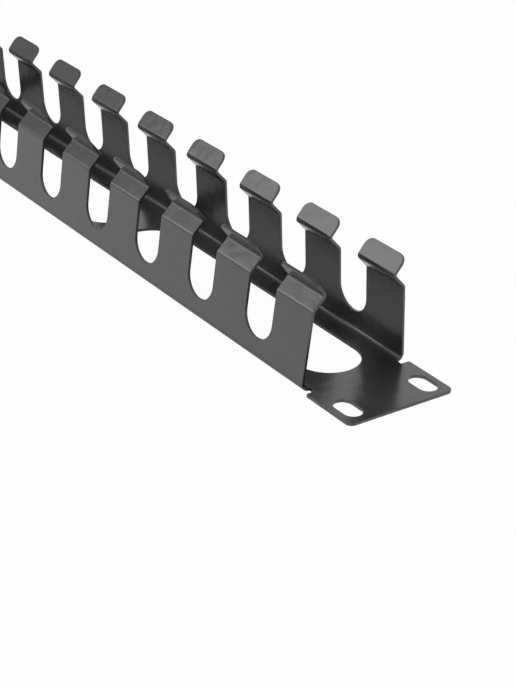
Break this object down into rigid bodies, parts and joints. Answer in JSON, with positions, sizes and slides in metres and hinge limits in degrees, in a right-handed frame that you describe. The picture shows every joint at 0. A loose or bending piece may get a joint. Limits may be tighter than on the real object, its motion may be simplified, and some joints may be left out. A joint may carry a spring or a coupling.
{
  "type": "rack cable organizer",
  "caption": "Folded sheet-steel horizontal cable organizer for a rack: a windowed web between two rows of upright fingers with hooked lips, and slotted mounting ears.",
  "frame": {"origin": "middle of the web's underside, in the plane of the face that meets the rack rails", "axes": "+X along the rack's width, from ear to ear; +Y across the panel's height as mounted; +Z away from the rack, the way the fingers stand"},
  "size_m": [0.4826, 0.044, 0.0399],
  "materials": {
    "painted_metal": "satin black powder coat with a fine texture"
  },
  "bodies": {
    "root": {"finger_channel": "painted_metal"}
  },
  "joints": []
}
